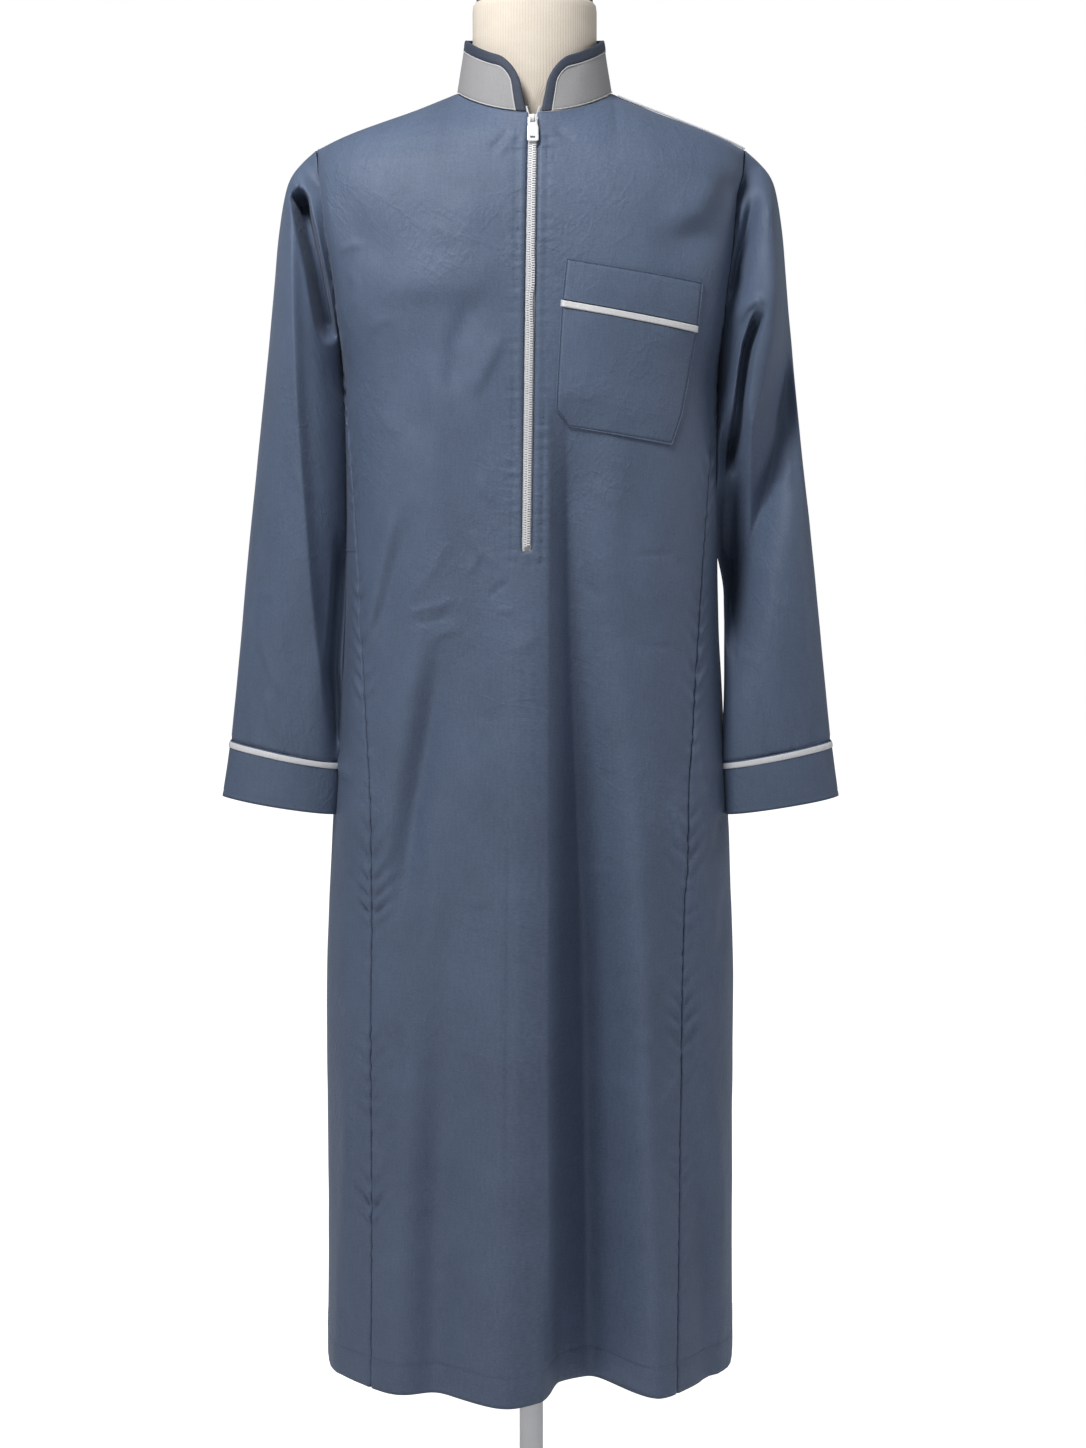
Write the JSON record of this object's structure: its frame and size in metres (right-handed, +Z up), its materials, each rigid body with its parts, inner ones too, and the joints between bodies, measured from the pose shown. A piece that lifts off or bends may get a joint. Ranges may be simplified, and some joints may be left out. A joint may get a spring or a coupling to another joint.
{
  "type": "zip-front thobe robe on a dress form",
  "caption": "Ankle-length robe with a stand-up collar, front zip, piped chest pocket and turned cuffs, on a limbless dress form with a round stand.",
  "frame": {"origin": "centre of the stand's flat underside, on the floor", "axes": "+Z up along the pole; the robe's front faces -Y; +X is to the right of someone who looks at the front"},
  "size_m": [0.6304, 0.3516, 1.5973],
  "materials": {
    "slate_cloth": "slate blue-grey plain-woven poly-cotton with a slight sheen",
    "grey_collar": "light lavender-grey woven cotton over a firm interlining",
    "navy_binding": "dark slate-navy bias binding",
    "white_piping": "off-white satin piping",
    "white_zip": "white moulded zip and enamelled slider",
    "linen": "cream linen cover of the dress form",
    "neck_cap": "dark satin neck cap",
    "white_stand": "white powder-coated steel"
  },
  "bodies": {
    "garment": {"front_panel": "slate_cloth", "side_front_left": "slate_cloth", "side_front_right": "slate_cloth", "back_panel": "slate_cloth", "sleeve_left": "slate_cloth", "sleeve_right": "slate_cloth", "cuff_left": "slate_cloth", "cuff_right": "slate_cloth", "cuff_piping_left": "white_piping", "cuff_piping_right": "white_piping", "collar_band": "grey_collar", "collar_binding": "navy_binding", "shoulder_piping_left": "white_piping", "shoulder_piping_right": "white_piping", "pocket_bag": "slate_cloth", "pocket_band": "slate_cloth", "pocket_piping": "white_piping", "zip_tape": "white_zip", "zip_teeth": "white_zip", "zip_slider": "white_zip", "form_torso": "linen", "neck_cap": "neck_cap", "pole": "white_stand", "base": "white_stand"},
    "pull_tab": {"zip_pull": "white_zip"}
  },
  "joints": [
    {"name": "pull_swing", "type": "hinge", "parent": "garment", "child": "pull_tab", "pos_m": [0.00249, -0.08613, 1.46324], "axis": [-1, 0, 0], "range_deg": [0, 150]}
  ]
}
